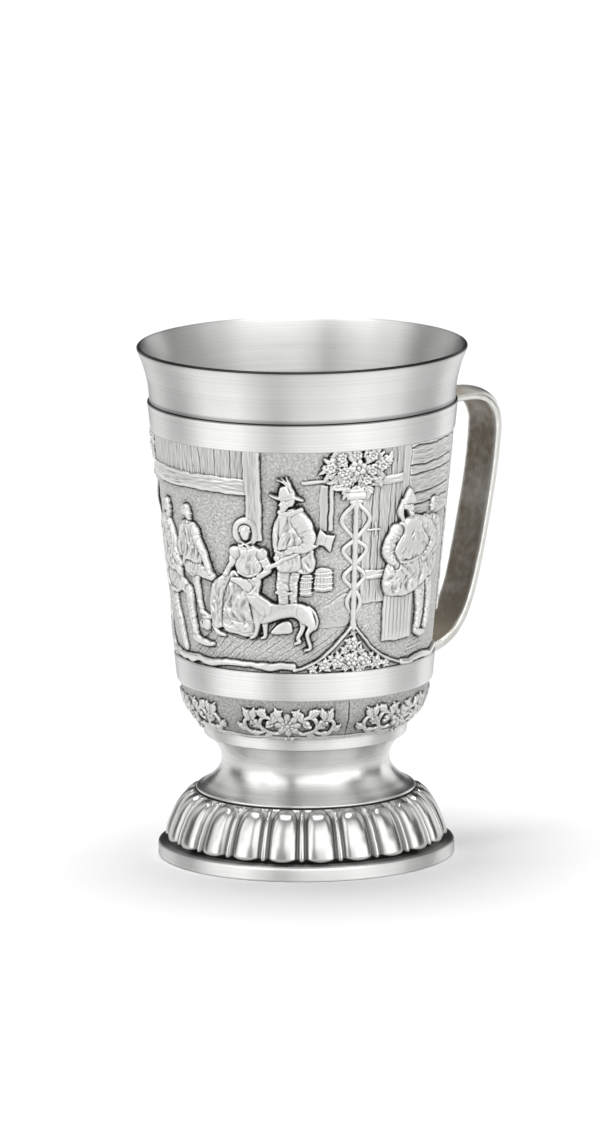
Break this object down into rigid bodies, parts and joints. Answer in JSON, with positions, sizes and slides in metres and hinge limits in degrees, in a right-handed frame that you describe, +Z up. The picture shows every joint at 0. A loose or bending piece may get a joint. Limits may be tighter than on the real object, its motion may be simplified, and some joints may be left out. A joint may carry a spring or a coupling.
{
  "type": "footed relief tankard",
  "caption": "Footed pewter tankard with a flared lip, relief-cast sides, a scrolled frieze, a gadrooned foot and a strap handle, for holding a drink.",
  "frame": {"origin": "on the table plane under the middle of the whole outline, which is a little towards the handle from the body's own axis", "axes": "+Z up along the tankard's height, +X out through the handle, +Y to the left of someone who faces along +X"},
  "size_m": [0.1292, 0.1, 0.1565],
  "materials": {
    "lip": "turned and burnished pewter, soft grey sheen with fine turning lines",
    "band": "polished pewter mouldings, slightly dulled",
    "relief": "cast pewter relief, dark patina in the hollows and rubbed bright on the high places",
    "cup_inside": "turned pewter, satin",
    "gadroons": "cast and rubbed pewter lobes with darkened grooves",
    "handle": "as-cast brown-grey pewter with rubbed bright edges"
  },
  "bodies": {
    "root": {"lip_ring": "lip", "upper_band": "band", "relief_segment_1": "relief", "relief_segment_2": "relief", "relief_segment_3": "relief", "lower_band": "band", "frieze_segment_1": "relief", "frieze_segment_2": "relief", "frieze_segment_3": "relief", "cup_floor": "cup_inside", "collar_ring": "band", "neck_spool": "lip", "gadrooned_dome": "gadroons", "foot_ring": "band", "handle_strap": "handle"}
  },
  "joints": []
}
